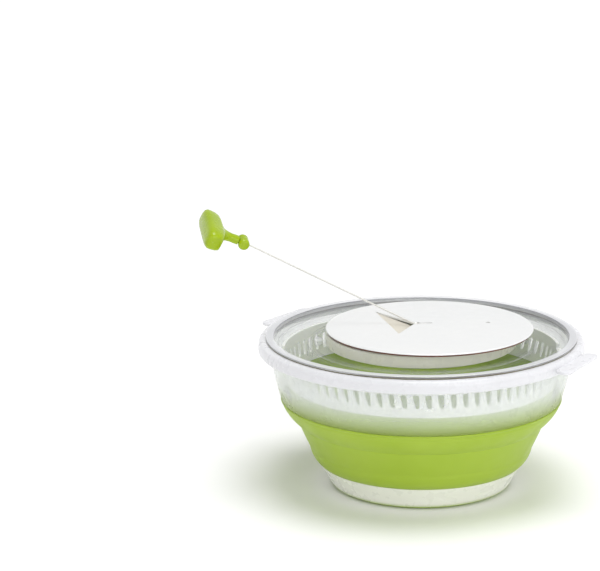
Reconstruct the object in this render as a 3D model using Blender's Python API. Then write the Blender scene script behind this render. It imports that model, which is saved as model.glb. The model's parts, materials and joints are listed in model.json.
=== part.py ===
"""A collapsible salad spinner with a pull cord, built in millimetres.

The origin is the centre of the foot pad's underside and +Z is up. The bowl, the basket and the
drum turn about the Z axis; the cord leaves the lid towards -X and the bowl's front faces -Y.
Each object is one closed solid. Pieces that touch share a plane; pieces that turn have a gap.
"""

import math

import bmesh
import bpy
from mathutils import Matrix, Vector

# Facets round each large ring. Nested rings that don't turn use the same number.
RING_FACETS = 36
WELD = 0.0005

# Bowl. A crease is where the folding band bends inwards.
FOOT_R = 72.0
FOOT_TOP = 1.6
FLOOR_TOP = 3.8
SOCKET_FLOOR = 4.6
SOCKET_TOP = 8.4
PIN_R = 2.4
PIN_TOP = 15.0
BASE_R = 85.0
BASE_TOP = 20.0
LOW_CREASE = (92.1, 33.0)
HIGH_CREASE = (101.2, 54.2)
BAND_R = 115.2
BAND_TOP = 74.0
BAND_WALL = 2.4
RIM_TOP = 121.4
RIM_WALL = 2.0
SKIRT_LOW = 114.0
FLANGE_R = 133.8
FLANGE_TOP = 124.0
TAB_ANGLES = (-30.0, 142.0)
TAB_WIDTH = 62.0
TAB_ROOT = 132.6
TAB_REACH = 145.5
TAB_LOW = 117.6
TAB_TOP = 120.2
TAB_CORNER_R = 6.0

# Basket
BASKET_FLOOR = 9.0
BASKET_FLOOR_TOP = 10.8
BASKET_HUB_LOW = 17.9
BASKET_HUB_TOP = 19.9
BASKET_BASE_TOP = 20.0
BASKET_BAND_TOP = 87.6
BASKET_TOP = 115.0
BASKET_WALL = 2.4
SLOT_COUNT = 72
SLOT_ANGLE = 2.8
SLOT_LOW = 95.0
SLOT_HIGH = 107.0
NOTCH_FLOOR = 111.2
FLOOR_SLOTS = 16

# Lid and drum
LID_R = 127.8
LID_UNDER = 117.2
LID_FLOOR = 118.9
LID_TOP = 126.4
RIDGE_TOP = 121.0
LID_HOLE_R = 73.8
CATCH_ANGLES = (69.5, 110.5, 249.5, 290.5)
CATCH_CIRCLE_R = 115.4
CATCH_TOP = 124.2
CLIP_CIRCLE_R = 84.2
CLIP_TOP = 122.6
DRUM_R = 78.0
DRUM_WALL = 1.8
DECK_LOW = 127.3
DECK_TOP = 128.9
CAP_R = 85.2
CAP_X = 6.8
CAP_EDGE_LOW = 131.3
CAP_LOW = 130.9
CAP_TOP = 132.5
PLUG_FROM_CAP = (49.0, 11.0)
CUP_R = 55.6
CUP_WALL = 1.6
CUP_FLOOR = 114.0
WELL_R = 26.6
WELL_LOW = 104.0
WELL_HOLE_R = 7.0
SCREW_CIRCLE_R = 63.5
SCREW_ANGLES = (45.0, 135.0, 225.0, 315.0)
SCREW_LOW = 115.8
SCREW_TOP = 125.6
SHANK_R = 1.4

# Drive
BORE_R = 3.4
SHAFT_R = 3.0
SHAFT_LOW = 98.6
SHAFT_TOP = 129.8
PLATE_LOW = 101.0
PLATE_THICK = 2.5
PLATE_HUB_R = 12.0
PLATE_BORE_R = 6.7
ARM_COUNT = 6
ARM_HALF = 3.2
ARM_TIP_LOW = 111.6
CLUTCH_LOW = 106.0
CLUTCH_FLOOR = 107.2
CLUTCH_TOP = 110.9
CLUTCH_R = 24.0
CLUTCH_TEETH = 12
TOOTH_TIP_R = 19.6
PAWL_PIVOT_R = 12.5
PAWL_ANGLES = (0.0, 120.0, 240.0)
PAWL_LOW = 107.9
PAWL_TOP = 111.2
BOSS_LOW = 111.6
SPOOL_LOW = 114.4
SPOOL_TOP = 122.2
SPOOL_R = 40.0
SPOOL_DRUM_R = 30.0
SPOOL_FLANGE = 1.2
WINDING_R = 33.3
COVER_LOW = 122.6
SPRING_LOW = 124.0
SPRING_TOP = 126.9
SPRING_TURNS = 4
SPRING_HALF = 0.35
SPRING_FROM_R = 8.0
SPRING_TO_R = 27.6

# Cord and handle. The cord leaves the eyelet along CORD_ANGLE above -X.
CORD_R = 0.75
CORD_STEP = 4.0
CORD_ANGLE = 26.7
EYELET = Vector((-4.2, 11.0, 131.4))
EYELET_R = 2.0
CORD_END = 152.7
TOGGLE_AT = 157.9
TOGGLE_R = 4.8
TOGGLE_LENGTH = 14.0
GRIP_FROM_TOGGLE = 28.0
GRIP_ROLL = 8.0
GRIP_YAW = 13.0
RUN_Z = 129.9
RUN_BEND_R = 1.2
# Where the cord, in from the spool, would cross the line that it goes up along, and the
# distance from the roller's axis to the cord's middle.
ROLLER_AT = Vector((47.0, 11.0, 117.6))
ROLLER_REACH = 4.3
ROLLER_R = 4.9
ROLLER_GROOVE_R = 3.3
ROLLER_HALF = 2.0
BRACKET_HALF = 4.0
BRACKET_WALL = 1.4

# The three corners of the fan recess in the top cap, from the cap's centre.
FAN_BACK = (-43.0, 50.0)
FAN_FRONT = (-26.0, -22.0)
FAN_MOUTH = (-11.0, 11.0)


def clear_scene():
    """Empties the scene and sets one unit to a millimetre."""
    for item in list(bpy.data.objects):
        bpy.data.objects.remove(item, do_unlink=True)
    bpy.context.scene.unit_settings.system = "METRIC"
    bpy.context.scene.unit_settings.scale_length = 0.001


def piece(name, points, faces):
    """A closed solid from points and faces, with its faces turned outwards."""
    mesh = bpy.data.meshes.new(name)
    mesh.from_pydata([tuple(point) for point in points], [], faces)
    work = bmesh.new()
    work.from_mesh(mesh)
    bmesh.ops.remove_doubles(work, verts=work.verts, dist=WELD)
    bmesh.ops.recalc_face_normals(work, faces=work.faces)
    if work.calc_volume(signed=True) < 0:
        bmesh.ops.reverse_faces(work, faces=work.faces)
    work.to_mesh(mesh)
    work.free()
    item = bpy.data.objects.new(name, mesh)
    bpy.context.scene.collection.objects.link(item)
    return item


def even_angles(count, first=0.0):
    return [math.radians(first + 360.0 * step / count) for step in range(count)]


def lathe(name, profile, facets=RING_FACETS, first=0.0, centre=(0.0, 0.0), place=None):
    """Turns a closed outline of (radius, height) points about a vertical axis."""
    angles = even_angles(facets, first)
    points = []
    for angle in angles:
        for radius, height in profile:
            x = centre[0] + radius * math.cos(angle)
            y = centre[1] + radius * math.sin(angle)
            points.append(Vector((x, y, height)))
    if place is not None:
        points = [place @ point for point in points]
    count = len(profile)
    faces = []
    for turn in range(facets):
        here = turn * count
        beyond = (turn + 1) % facets * count
        for step in range(count):
            after = (step + 1) % count
            if profile[step][0] < 1e-6 and profile[after][0] < 1e-6:
                continue
            faces.append((here + step, here + after, beyond + after, beyond + step))
    return piece(name, points, faces)


def cage(name, pairs, angles, solid):
    """A wall turned about Z from (outer point, inner point) pairs. solid(row, cell) says which
    cells of the wall are filled, and the sides of each empty cell are closed."""
    turns = len(angles)
    rows = len(pairs) - 1
    points = []
    for angle in angles:
        for outer, inner in pairs:
            for radius, height in (outer, inner):
                points.append((radius * math.cos(angle), radius * math.sin(angle), height))

    def corner(turn, level, side):
        return (turn % turns * len(pairs) + level) * 2 + side

    def filled(row, cell):
        return 0 <= row < rows and solid(row, cell % turns)

    faces = []
    for cell in range(turns):
        for row in range(rows):
            if not filled(row, cell):
                continue
            for side in (0, 1):
                faces.append(
                    (
                        corner(cell, row, side),
                        corner(cell + 1, row, side),
                        corner(cell + 1, row + 1, side),
                        corner(cell, row + 1, side),
                    )
                )
            for level, neighbour in ((row, row - 1), (row + 1, row + 1)):
                if not filled(neighbour, cell):
                    faces.append(
                        (
                            corner(cell, level, 0),
                            corner(cell, level, 1),
                            corner(cell + 1, level, 1),
                            corner(cell + 1, level, 0),
                        )
                    )
            for turn, neighbour in ((cell, cell - 1), (cell + 1, cell + 1)):
                if not filled(row, neighbour):
                    faces.append(
                        (
                            corner(turn, row, 0),
                            corner(turn, row, 1),
                            corner(turn, row + 1, 1),
                            corner(turn, row + 1, 0),
                        )
                    )
    return piece(name, points, faces)


def prism(name, outline, low, high):
    """A straight prism over a plan outline. high is one height or one for each corner."""
    count = len(outline)
    tops = high if isinstance(high, (list, tuple)) else [high] * count
    points = [(x, y, low) for x, y in outline]
    points += [(x, y, top) for (x, y), top in zip(outline, tops)]
    faces = [tuple(range(count)), tuple(range(count, 2 * count))]
    for step in range(count):
        after = (step + 1) % count
        faces.append((step, after, count + after, count + step))
    return piece(name, points, faces)


def cylinder(name, radius, low, high, centre=(0.0, 0.0), facets=12, place=None):
    profile = [(0.0, low), (radius, low), (radius, high), (0.0, high)]
    return lathe(name, profile, facets=facets, centre=centre, place=place)


def cord_piece(name, route):
    """A round cord along a route, as a bevelled curve with a point every few millimetres."""
    points = [route[0]]
    for ahead in route[1:]:
        behind = points[-1]
        count = max(1, round((ahead - behind).length / CORD_STEP))
        points += [behind.lerp(ahead, step / count) for step in range(1, count + 1)]
    curve = bpy.data.curves.new(name, "CURVE")
    curve.dimensions = "3D"
    curve.bevel_depth = CORD_R
    curve.bevel_resolution = 2
    curve.use_fill_caps = True
    spline = curve.splines.new("POLY")
    spline.points.add(len(points) - 1)
    for spot, point in zip(spline.points, points):
        spot.co = (*point, 1.0)
    item = bpy.data.objects.new(name, curve)
    bpy.context.scene.collection.objects.link(item)
    return item


def combine(item, other, operation):
    """Joins other to item or cuts it away, for good, and removes other."""
    step = item.modifiers.new(operation.lower(), "BOOLEAN")
    step.operation = operation
    step.solver = "EXACT"
    step.object = other
    graph = bpy.context.evaluated_depsgraph_get()
    made = bpy.data.meshes.new_from_object(item.evaluated_get(graph))
    item.modifiers.remove(step)
    item.data = made
    bpy.data.objects.remove(other, do_unlink=True)
    return item


def rounded_outline(length, width, radius, corners=3):
    """A rectangle in plan with rounded corners, length along X and width along Y."""
    outline = []
    for quarter in range(4):
        start = math.radians(90 * quarter)
        across = 1 if quarter in (0, 3) else -1
        along = 1 if quarter in (0, 1) else -1
        for step in range(corners + 1):
            angle = start + math.radians(90 * step / corners)
            x = across * (length / 2 - radius) + radius * math.cos(angle)
            y = along * (width / 2 - radius) + radius * math.sin(angle)
            outline.append((x, y))
    return outline


def moved_outline(outline, centre, angle=0.0):
    turn = math.radians(angle)
    moved = []
    for x, y in outline:
        far = centre[0] + x * math.cos(turn) - y * math.sin(turn)
        wide = centre[1] + x * math.sin(turn) + y * math.cos(turn)
        moved.append((far, wide))
    return moved


def on_circle(radius, angle):
    turn = math.radians(angle)
    return (radius * math.cos(turn), radius * math.sin(turn))


def cord_frame(distance):
    """The frame at a distance along the cord: X along the cord, Y along the grip, rolled."""
    slope = math.radians(CORD_ANGLE)
    roll = math.radians(GRIP_ROLL)
    along = Vector((-math.cos(slope), 0.0, math.sin(slope)))
    up = Vector((math.sin(slope), 0.0, math.cos(slope)))
    near = Vector((0.0, -1.0, 0.0)) * math.cos(roll) - up * math.sin(roll)
    third = along.cross(near)
    frame = Matrix((along, near, third)).transposed().to_4x4()
    frame.translation = EYELET + along * distance
    return frame


def inset(line, wall, rise):
    """The inner line of a sloping wall: in by its thickness and up a little, flat at both ends."""
    inner = [(radius - wall, height + rise) for radius, height in line]
    inner[0] = (inner[0][0], line[0][1])
    inner[-1] = (inner[-1][0], line[-1][1])
    return inner


def grip_frame(distance):
    """The toggle's frame, turned about its own upright towards the front, moved along."""
    turn = Matrix.Rotation(math.radians(GRIP_YAW), 4, "Z")
    return cord_frame(TOGGLE_AT) @ turn @ Matrix.Translation((distance, 0.0, 0.0))


def build_bowl():
    """The foot pad, the clear base and its pin, the folding band and the clear rim."""
    lathe("foot_pad", [(0, 0), (FOOT_R - 1, 0), (FOOT_R, 0.8), (FOOT_R, FOOT_TOP), (0, FOOT_TOP)])
    base = [(0, FOOT_TOP), (74.0, FOOT_TOP), (76.5, 5.5), (79.0, 10.5), (BASE_R, BASE_TOP)]
    base += [(BASE_R - BAND_WALL, BASE_TOP), (76.8, 10.8), (74.0, 6.0), (72.4, FLOOR_TOP)]
    base += [(9.0, FLOOR_TOP), (7.4, SOCKET_TOP), (2.8, SOCKET_TOP), (2.8, SOCKET_FLOOR)]
    base += [(0, SOCKET_FLOOR)]
    lathe("bowl_base", base)
    pin = [(0, SOCKET_FLOOR), (PIN_R, SOCKET_FLOOR), (PIN_R, PIN_TOP - 1.6)]
    pin += [(PIN_R - 1.0, PIN_TOP - 0.2), (0, PIN_TOP)]
    lathe("pivot_pin", pin, facets=16)
    outer = [(BASE_R - 0.4, BASE_TOP), (90.6, 27.6), LOW_CREASE, HIGH_CREASE]
    outer += [(109.4, 62.7), (113.2, 68.0), (BAND_R, BAND_TOP)]
    lathe("bowl_band", outer + inset(outer, BAND_WALL, 0.9)[::-1])
    rim = [(BAND_R + 0.2, BAND_TOP), (119.0, 86.5), (121.6, 98.0), (124.0, SKIRT_LOW)]
    rim += [(124.5, RIM_TOP)]
    lathe("bowl_rim", rim + inset(rim, RIM_WALL, 0.3)[::-1])
    build_flange()


def build_flange():
    """The rolled flange round the rim's top, with its drip skirt and two thumb tabs."""
    section = [(122.6, RIM_TOP), (131.4, RIM_TOP), (131.7, SKIRT_LOW), (133.4, SKIRT_LOW)]
    section += [(FLANGE_R, SKIRT_LOW + 1.0), (FLANGE_R, 120.5), (132.6, 123.0)]
    section += [(130.5, FLANGE_TOP), (127.2, FLANGE_TOP), (124.6, 123.0)]
    flange = lathe("bowl_flange", section)
    plan = rounded_outline(TAB_REACH - TAB_ROOT, TAB_WIDTH, TAB_CORNER_R)
    for angle in TAB_ANGLES:
        middle = on_circle((TAB_REACH + TAB_ROOT) / 2, angle)
        tab = prism("tab", moved_outline(plan, middle, angle), TAB_LOW, TAB_TOP)
        combine(flange, tab, "UNION")


def build_basket():
    """The bearing on the pivot pin and the basket's base, folding band and slotted ring."""
    bearing = [(0, PIN_TOP + 0.4), (2.8, PIN_TOP + 0.4), (2.8, 8.8), (5.4, 8.8), (5.4, 17.5)]
    lathe("pivot_bearing", bearing + [(0, 17.5)], facets=16)
    pairs = [((0, BASKET_HUB_LOW), (0, BASKET_HUB_TOP))]
    pairs += [((5.9, BASKET_HUB_LOW), (8.0, BASKET_HUB_TOP)), ((5.9, 9.6), (9.2, 13.0))]
    flat = ((12.0, 12.0), (20.0, 20.0), (40.0, 40.0), (45.0, 45.0), (61.0, 61.0), (67.0, 66.0))
    pairs += [((outer, BASKET_FLOOR), (inner, BASKET_FLOOR_TOP)) for outer, inner in flat]
    pairs += [((76.0, BASKET_BASE_TOP), (76.0 - BASKET_WALL, BASKET_BASE_TOP))]
    slotted_rows = (4, 6)
    cage(
        "basket_base",
        pairs,
        even_angles(2 * FLOOR_SLOTS),
        lambda row, cell: not (row in slotted_rows and cell % 2),
    )
    outer = [(75.8, BASKET_BASE_TOP), (83.5, 33.0), (93.6, 56.0), (105.4, 70.0)]
    outer += [(110.0, BASKET_BAND_TOP)]
    lathe("basket_band", outer + inset(outer, 2.0, 0.8)[::-1])
    build_basket_ring()


def build_basket_ring():
    """The upper ring: slots all round, and a notch in its top edge for each drive arm."""
    step = 360.0 / SLOT_COUNT
    angles = []
    for slot in range(SLOT_COUNT):
        middle = slot * step
        angles.append(math.radians(middle - SLOT_ANGLE / 2))
        angles.append(math.radians(middle + SLOT_ANGLE / 2))
    every = SLOT_COUNT // ARM_COUNT
    notched = set()
    for arm in range(ARM_COUNT):
        cell = 2 * every * arm
        notched |= {(cell - 1) % (2 * SLOT_COUNT), cell, cell + 1}
    line = [(110.2, BASKET_BAND_TOP), (111.6, SLOT_LOW), (113.4, SLOT_HIGH)]
    line += [(114.2, NOTCH_FLOOR), (114.8, BASKET_TOP)]
    pairs = list(zip(line, inset(line, BASKET_WALL, 0.0)))

    def solid(row, cell):
        if row == 1:
            return cell % 2 == 1
        return not (row == 3 and cell in notched)

    cage("basket_ring", pairs, angles, solid)


def build_lid():
    """The clear lid with its four catches and two clips, and the gasket under its edge."""
    shell = [(LID_R, 124.7), (LID_R, 125.9), (LID_R - 0.6, LID_TOP), (121.6, LID_TOP)]
    shell += [(120.6, 125.8), (117.6, LID_FLOOR), (93.6, LID_FLOOR), (92.6, RIDGE_TOP)]
    shell += [(90.2, RIDGE_TOP), (89.2, LID_FLOOR), (LID_HOLE_R, LID_FLOOR), (LID_HOLE_R, LID_UNDER)]
    shell += [(119.4, LID_UNDER), (121.4, 123.2), (123.0, 124.7)]
    lid = lathe("lid_shell", shell)
    catch_plan = rounded_outline(4.0, 6.0, 1.0, 1)
    for angle in CATCH_ANGLES:
        plan = moved_outline(catch_plan, on_circle(CATCH_CIRCLE_R, angle), angle)
        combine(lid, prism("catch", plan, LID_UNDER + 1.0, CATCH_TOP), "UNION")
    gasket = [(127.4, 124.2), (127.4, 124.65), (123.1, 124.65), (122.0, 123.4), (121.9, 122.6)]
    gasket += [(122.9, 121.9), (124.5, 123.3), (127.1, 124.2)]
    lathe("lid_gasket", gasket)
    clip_plan = rounded_outline(7.0, 12.0, 1.5, 2)
    for name, angle in (("lid_clip_left", 180.0), ("lid_clip_right", 0.0)):
        plan = moved_outline(clip_plan, on_circle(CLIP_CIRCLE_R, angle), angle)
        prism(name, plan, LID_FLOOR, CLIP_TOP)


def build_drum():
    """The mechanism cup under the lid, and the drum housing with four screw posts."""
    seat = LID_FLOOR + 0.1
    lip = seat + CUP_WALL
    brim = LID_UNDER + CUP_WALL
    cup = [(75.4, seat), (75.4, lip), (71.6, lip), (71.6, brim), (CUP_R - CUP_WALL, brim)]
    cup += [(CUP_R - CUP_WALL, CUP_FLOOR), (WELL_R - CUP_WALL, CUP_FLOOR)]
    cup += [(WELL_R - CUP_WALL, WELL_LOW + CUP_WALL), (WELL_HOLE_R, WELL_LOW + CUP_WALL)]
    cup += [(WELL_HOLE_R, WELL_LOW), (WELL_R, WELL_LOW), (WELL_R, CUP_FLOOR - CUP_WALL)]
    cup += [(CUP_R, CUP_FLOOR - CUP_WALL), (CUP_R, LID_UNDER), (73.2, LID_UNDER), (73.2, seat)]
    base = lathe("drum_base", cup)
    housing = [(DRUM_R, seat), (DRUM_R, 128.2), (DRUM_R - 0.7, DECK_TOP), (BORE_R, DECK_TOP)]
    housing += [(BORE_R, DECK_LOW), (DRUM_R - DRUM_WALL, DECK_LOW), (DRUM_R - DRUM_WALL, seat)]
    drum = lathe("drum_housing", housing)
    for number, angle in enumerate(SCREW_ANGLES, 1):
        spot = on_circle(SCREW_CIRCLE_R, angle)
        combine(base, cylinder("hole", SHANK_R + 0.5, LID_UNDER - 1, brim + 1, spot, 8), "DIFFERENCE")
        combine(drum, cylinder("post", 3.4, brim + 0.3, DECK_LOW + 0.5, spot, 12), "UNION")
        combine(drum, cylinder("hole", SHANK_R + 0.3, brim, SCREW_TOP + 0.8, spot, 8), "DIFFERENCE")
        screw = [(0, SCREW_LOW), (2.4, SCREW_LOW), (2.9, SCREW_LOW + 0.6), (2.9, LID_UNDER - 0.05)]
        screw += [(SHANK_R, LID_UNDER - 0.05), (SHANK_R, SCREW_TOP), (0, SCREW_TOP)]
        lathe("drum_screw_{}".format(number), screw, facets=8, centre=spot)
    mouth = (ROLLER_AT.x, ROLLER_AT.y)
    combine(drum, cylinder("hole", 2.9, 126.0, 130.0, mouth, 12), "DIFFERENCE")
    low = DECK_LOW - 0.4
    ring = [(1.15, low), (2.6, low), (2.6, DECK_TOP), (1.15, DECK_TOP)]
    lathe("cord_grommet", ring, facets=12, centre=mouth)


def cap_point(point):
    return (CAP_X + point[0], point[1])


def build_cap():
    """The off-centre top cap with its fan recess and cord groove, and what is under it."""
    centre = (CAP_X, 0.0)
    low, high = CAP_EDGE_LOW - 1.3, CAP_EDGE_LOW - 0.1
    seal = [(82.4, low), (84.2, low), (84.4, high), (82.4, high)]
    lathe("cap_seal_ring", seal, centre=centre)
    cap = [(CAP_R, CAP_EDGE_LOW), (CAP_R, CAP_TOP - 0.7), (CAP_R - 0.8, CAP_TOP), (0, CAP_TOP)]
    cap += [(0, CAP_LOW), (CAP_R - 3.0, CAP_LOW), (CAP_R - 3.0, CAP_EDGE_LOW)]
    top = lathe("top_cap", cap, centre=centre)
    below, above = CAP_LOW - 1.0, CAP_TOP + 1.0
    fan = [cap_point(FAN_BACK), cap_point(FAN_MOUTH), cap_point(FAN_FRONT)]
    groove = moved_outline(rounded_outline(14.0, 2.6, 1.2, 2), (EYELET.x + 7.0, EYELET.y))
    plug_spot = cap_point(PLUG_FROM_CAP)
    combine(top, prism("fan", fan, below, above), "DIFFERENCE")
    combine(top, cylinder("well", 3.9, below, above, cap_point(FAN_MOUTH), 16), "DIFFERENCE")
    combine(top, prism("groove", groove, below, above), "DIFFERENCE")
    combine(top, cylinder("hole", 1.8, below, above, plug_spot, 12), "DIFFERENCE")
    cylinder("cap_plug", 1.5, DECK_TOP, CAP_TOP - 0.2, plug_spot, 8)
    build_ramp()


def build_ramp():
    """The sloped insert that fills the fan recess, highest at its outer edge."""
    back = Vector(cap_point(FAN_BACK))
    mouth = Vector(cap_point(FAN_MOUTH))
    front = Vector(cap_point(FAN_FRONT))
    middle = (back + mouth + front) / 3
    near_back = mouth + (back - mouth) * 0.12
    near_front = mouth + (front - mouth) * 0.18
    outline = []
    for corner in (near_back, near_front, front, back):
        outline.append(tuple(corner + (middle - corner).normalized() * 0.9))
    low, high = CAP_TOP - 2.7, CAP_TOP - 0.7
    prism("cord_ramp", outline, DECK_TOP, [low, low, high, high])


def build_shaft():
    """The centre shaft with its clip and spacer, and the recoil spring in its cover."""
    shaft = [(0, SHAFT_LOW), (SHAFT_R, SHAFT_LOW), (SHAFT_R, DECK_TOP), (4.6, DECK_TOP)]
    lathe("centre_shaft", shaft + [(4.6, SHAFT_TOP), (0, SHAFT_TOP)], facets=16)
    near = SHAFT_R + 0.05
    low = SHAFT_LOW + 0.8
    clip = [(near, low), (5.6, low), (5.6, low + 1.0), (near, low + 1.0)]
    lathe("shaft_clip", clip, facets=16)
    low, high = CLUTCH_FLOOR + 0.3, BOSS_LOW - 0.3
    lathe("shaft_spacer", [(3.3, low), (5.0, low), (5.0, high), (3.3, high)], facets=16)
    cover = [(6.9, COVER_LOW), (30.4, COVER_LOW), (30.4, DECK_LOW), (29.0, DECK_LOW)]
    cover += [(29.0, COVER_LOW + 1.0), (6.9, COVER_LOW + 1.0)]
    lathe("spring_cover", cover, facets=32)
    build_spring()


def build_spring():
    """A flat spiral ribbon, from the spool's hub out to the cover's wall."""
    each = 16
    total = SPRING_TURNS * each
    points = []
    for step in range(total + 1):
        angle = 2 * math.pi * step / each
        radius = SPRING_FROM_R + (SPRING_TO_R - SPRING_FROM_R) * step / total
        for across in (-SPRING_HALF, SPRING_HALF):
            for height in (SPRING_LOW, SPRING_TOP):
                x = (radius + across) * math.cos(angle)
                y = (radius + across) * math.sin(angle)
                points.append((x, y, height))
    faces = [(0, 1, 3, 2), (4 * total, 4 * total + 2, 4 * total + 3, 4 * total + 1)]
    for step in range(total):
        here = 4 * step
        for one, two in ((0, 1), (1, 3), (3, 2), (2, 0)):
            faces.append((here + one, here + two, here + 4 + two, here + 4 + one))
    piece("recoil_spring", points, faces)


def build_spool():
    """The spool with the cord wound on it, and the pins that its three pawls turn on."""
    low, high = SPOOL_LOW + SPOOL_FLANGE, SPOOL_TOP - SPOOL_FLANGE
    spool = [(BORE_R, BOSS_LOW), (16.0, BOSS_LOW), (16.0, SPOOL_LOW), (SPOOL_R, SPOOL_LOW)]
    spool += [(SPOOL_R, low), (SPOOL_DRUM_R, low), (SPOOL_DRUM_R, high), (SPOOL_R, high)]
    spool += [(SPOOL_R, SPOOL_TOP), (6.0, SPOOL_TOP), (6.0, 126.4), (BORE_R, 126.4)]
    lathe("cord_spool", spool, facets=32)
    near = SPOOL_DRUM_R + 0.4
    winding = [(near, low + 0.3), (WINDING_R, low + 0.3), (WINDING_R, high - 0.3)]
    lathe("cord_winding", winding + [(near, high - 0.3)], facets=32)
    for number, angle in enumerate(PAWL_ANGLES, 1):
        pivot = on_circle(PAWL_PIVOT_R, angle)
        cylinder("pawl_pin_{}".format(number), 1.1, PAWL_LOW - 0.3, BOSS_LOW, pivot, 8)
        build_pawl("pawl_{}".format(number), pivot, angle)


def build_pawl(name, pivot, angle):
    """One pawl: an eye round its pin and an arm that trails towards the clutch teeth."""
    arm = angle + 70.0
    turns = (-3.0, 3.0, 26.0, 70.0, 115.0, 155.0, 205.0, 245.0, 290.0, 334.0)
    outer = []
    bore = []
    for turn in turns:
        reach = 9.7 if abs(turn) < 4 else 2.6
        offset = on_circle(reach, arm + turn)
        outer.append((pivot[0] + offset[0], pivot[1] + offset[1]))
        offset = on_circle(1.5, arm + turn)
        bore.append((pivot[0] + offset[0], pivot[1] + offset[1]))
    count = len(turns)
    points = []
    for height in (PAWL_LOW, PAWL_TOP):
        points += [(x, y, height) for x, y in outer]
        points += [(x, y, height) for x, y in bore]
    faces = []
    for step in range(count):
        after = (step + 1) % count
        faces.append((step, after, count + after, count + step))
        up = 2 * count
        faces.append((up + step, up + after, up + count + after, up + count + step))
        faces.append((step, after, up + after, up + step))
        faces.append((count + step, count + after, up + count + after, up + count + step))
    piece(name, points, faces)


def build_driver():
    """The clutch cup with saw teeth inside, and the six-armed plate that turns the basket."""
    facets = 3 * CLUTCH_TEETH
    angles = even_angles(facets)

    def tooth(cell):
        return TOOTH_TIP_R + 1.0 * (cell % 3)

    points = []
    low = PLATE_LOW - 0.1
    profile = [(BORE_R, low), (6.2, low), (6.2, CLUTCH_LOW), (CLUTCH_R, CLUTCH_LOW)]
    profile += [(CLUTCH_R, CLUTCH_TOP), (None, CLUTCH_TOP), (None, CLUTCH_FLOOR)]
    profile.append((BORE_R, CLUTCH_FLOOR))
    for cell, angle in enumerate(angles):
        for radius, height in profile:
            reach = tooth(cell) if radius is None else radius
            points.append((reach * math.cos(angle), reach * math.sin(angle), height))
    count = len(profile)
    faces = []
    for cell in range(facets):
        here = cell * count
        beyond = (cell + 1) % facets * count
        for step in range(count):
            after = (step + 1) % count
            faces.append((here + step, here + after, beyond + after, beyond + step))
    piece("clutch_cup", points, faces)
    build_drive_plate()


def build_drive_plate():
    """The hub ring and its arms: level below the cup, then rising to the basket's top edge."""
    reach = ((58.0, PLATE_LOW), (104.0, ARM_TIP_LOW), (113.9, ARM_TIP_LOW))
    top = PLATE_LOW + PLATE_THICK
    corners = ((PLATE_BORE_R, PLATE_LOW), (PLATE_HUB_R, PLATE_LOW))
    corners += ((PLATE_BORE_R, top), (PLATE_HUB_R, top))
    spread = math.asin(ARM_HALF / PLATE_HUB_R)
    points = []
    rim = []
    for arm in range(ARM_COUNT):
        middle = math.radians(360.0 * arm / ARM_COUNT)
        for angle in (middle - spread, middle + spread):
            rim.append(len(points))
            for radius, height in corners:
                points.append((radius * math.cos(angle), radius * math.sin(angle), height))
    faces = []
    for index, here in enumerate(rim):
        beyond = rim[(index + 1) % len(rim)]
        faces.append((here, here + 1, beyond + 1, beyond))
        faces.append((here + 2, here + 3, beyond + 3, beyond + 2))
        faces.append((here, here + 2, beyond + 2, beyond))
        if index % 2:
            faces.append((here + 1, here + 3, beyond + 3, beyond + 1))
    for arm in range(ARM_COUNT):
        middle = math.radians(360.0 * arm / ARM_COUNT)
        ahead = Vector((math.cos(middle), math.sin(middle), 0.0))
        side = Vector((-math.sin(middle), math.cos(middle), 0.0))
        right = rim[2 * arm]
        left = rim[2 * arm + 1]
        section = (right + 1, left + 1, left + 3, right + 3)
        bar = ((-ARM_HALF, 0), (ARM_HALF, 0), (ARM_HALF, PLATE_THICK), (-ARM_HALF, PLATE_THICK))
        for radius, height in reach:
            start = len(points)
            for across, rise in bar:
                points.append(ahead * radius + side * across + Vector((0, 0, height + rise)))
            fresh = (start, start + 1, start + 2, start + 3)
            for step in range(4):
                after = (step + 1) % 4
                faces.append((section[step], section[after], fresh[after], fresh[step]))
            section = fresh
        faces.append(section)
    piece("drive_plate", points, faces)


def roller_frame():
    """The guide roller's frame, with X away from the spool, Y up and Z along the pin, and the
    point where the cord leaves the winding."""
    radius = WINDING_R + CORD_R + 0.25
    reach = math.hypot(ROLLER_AT.x, ROLLER_AT.y)
    angle = math.atan2(ROLLER_AT.y, ROLLER_AT.x) - math.acos(radius / reach)
    start = Vector((radius * math.cos(angle), radius * math.sin(angle), ROLLER_AT.z))
    away = (ROLLER_AT - start).normalized()
    up = Vector((0, 0, 1))
    frame = Matrix((away, up, away.cross(up))).transposed().to_4x4()
    frame.translation = ROLLER_AT + (up - away) * ROLLER_REACH
    return frame, start


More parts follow.
